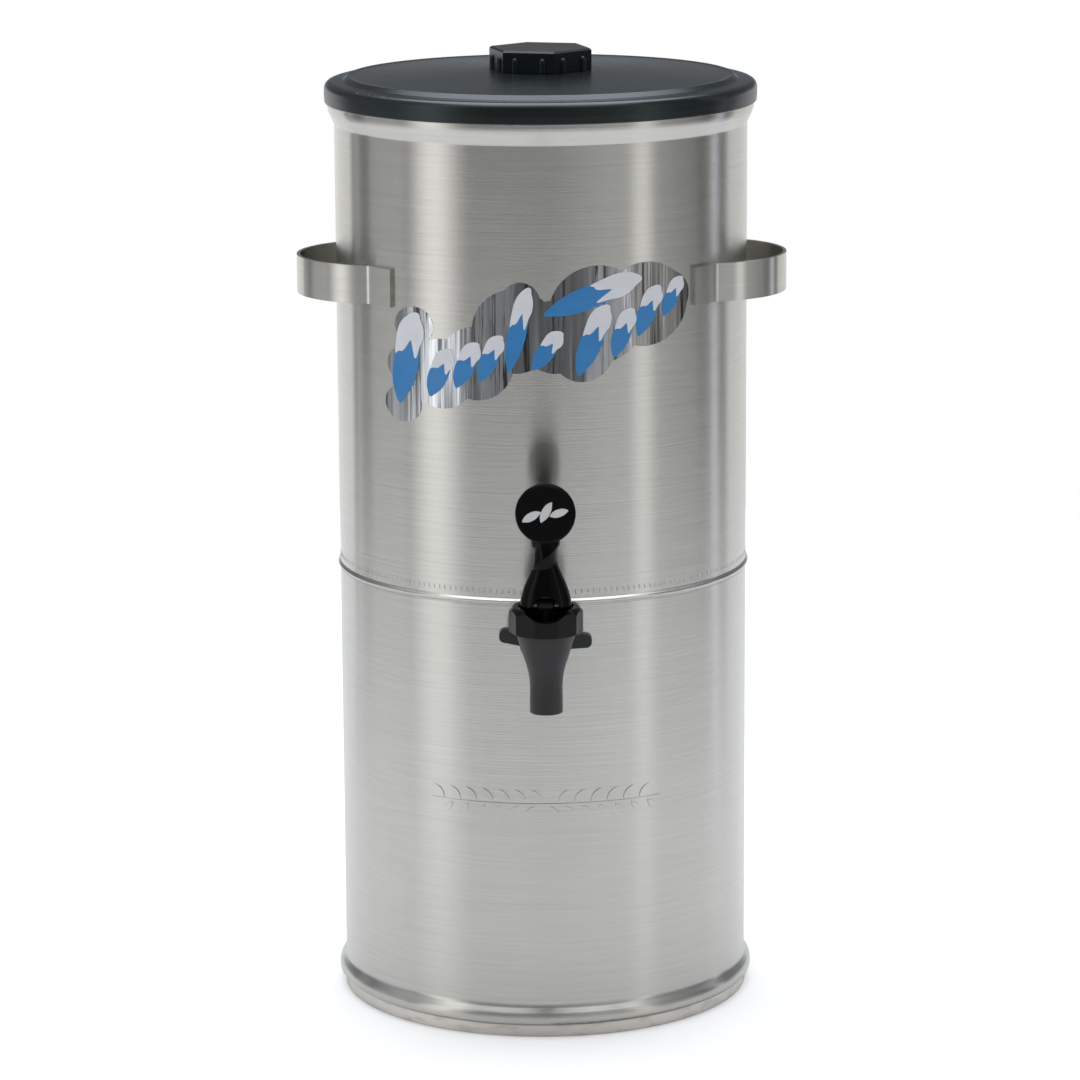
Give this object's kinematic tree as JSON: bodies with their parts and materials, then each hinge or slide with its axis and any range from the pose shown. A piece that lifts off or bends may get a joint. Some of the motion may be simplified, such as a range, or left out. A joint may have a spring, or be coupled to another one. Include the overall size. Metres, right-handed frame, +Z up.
{
  "type": "tea dispenser",
  "caption": "Tall round steel tea dispenser on a hollow base, with side strap handles, a lift-off black lid with a hexagonal plug cap, and a self-closing lever faucet in front.",
  "frame": {"origin": "on the vessel's upright axis, at the underside of the foot ring, where it rests", "axes": "+Z up along the vessel's axis, -Y towards the faucet and the person who pours, +X to that person's right"},
  "size_m": [0.2858, 0.3113, 0.5637],
  "materials": {
    "steel_shell": "brushed around the body, satin",
    "steel_pan": "dull drawn sheet",
    "steel_strap": "brushed lengthwise",
    "foot_trim": "dull grey",
    "foil_label": null,
    "lid_black": "fine moulded grain",
    "cap_black": "satin moulded",
    "seal_rubber": "smooth silicone",
    "clear_rubber": "smooth silicone",
    "shank_steel": "turned",
    "spout_black": "satin moulded",
    "nut_black": "satin moulded",
    "bonnet_black": "polished moulded",
    "lever_black": "polished moulded",
    "badge_black": "plain satin inlay",
    "stem_black": "satin moulded",
    "clip_plastic": "natural moulded"
  },
  "bodies": {
    "vessel": {"upper_shell": "steel_shell", "reservoir_pan": "steel_pan", "base_skirt": "steel_shell", "foot_ring": "foot_trim", "handle_left": "steel_strap", "handle_right": "steel_strap", "front_label": "foil_label", "shank": "shank_steel", "coupling_gasket": "clear_rubber", "c_ring": "clip_plastic", "faucet_body": "spout_black", "bonnet": "bonnet_black"},
    "wing_nut": {"wing_nut": "nut_black"},
    "lid": {"lid": "lid_black"},
    "cap_seal": {"cap_seal": "seal_rubber"},
    "hex_cap": {"hex_cap": "cap_black"},
    "stem": {"valve_stem": "stem_black", "lever_pin": "shank_steel", "seat_cup": "clear_rubber", "return_spring": "shank_steel"},
    "lever": {"lever": "lever_black", "lever_badge": "badge_black"}
  },
  "joints": [
    {"name": "lid_lift", "type": "slide", "parent": "vessel", "child": "lid", "axis": [0, 0, 1], "range_m": [0, 0.25]},
    {"name": "cap_lift", "type": "slide", "parent": "lid", "child": "cap_seal", "axis": [0, 0, 1], "range_m": [0, 0.05]},
    {"name": "cap_turn", "type": "hinge", "parent": "cap_seal", "child": "hex_cap", "pos_m": [0, 0, 0.5476], "axis": [0, 0, 1], "continuous": true},
    {"name": "nut_turn", "type": "hinge", "parent": "vessel", "child": "wing_nut", "pos_m": [0, -0.135, 0.242], "axis": [0, -1, 0], "continuous": true},
    {"name": "stem_lift", "type": "slide", "parent": "vessel", "child": "stem", "axis": [0, 0, 1], "range_m": [0, 0.0042], "deforming": ["return_spring", "seat_cup"]},
    {"name": "lever_tilt", "type": "hinge", "parent": "stem", "child": "lever", "pos_m": [0, -0.165, 0.268], "axis": [1, 0, 0], "range_deg": [0, 30], "stiffness_Nm_per_rad": 0.6, "springref_deg": -17.19}
  ],
  "couplings": [
    {"joint": "stem_lift", "follows": "lever_tilt", "m_per_rad": 0.008}
  ]
}
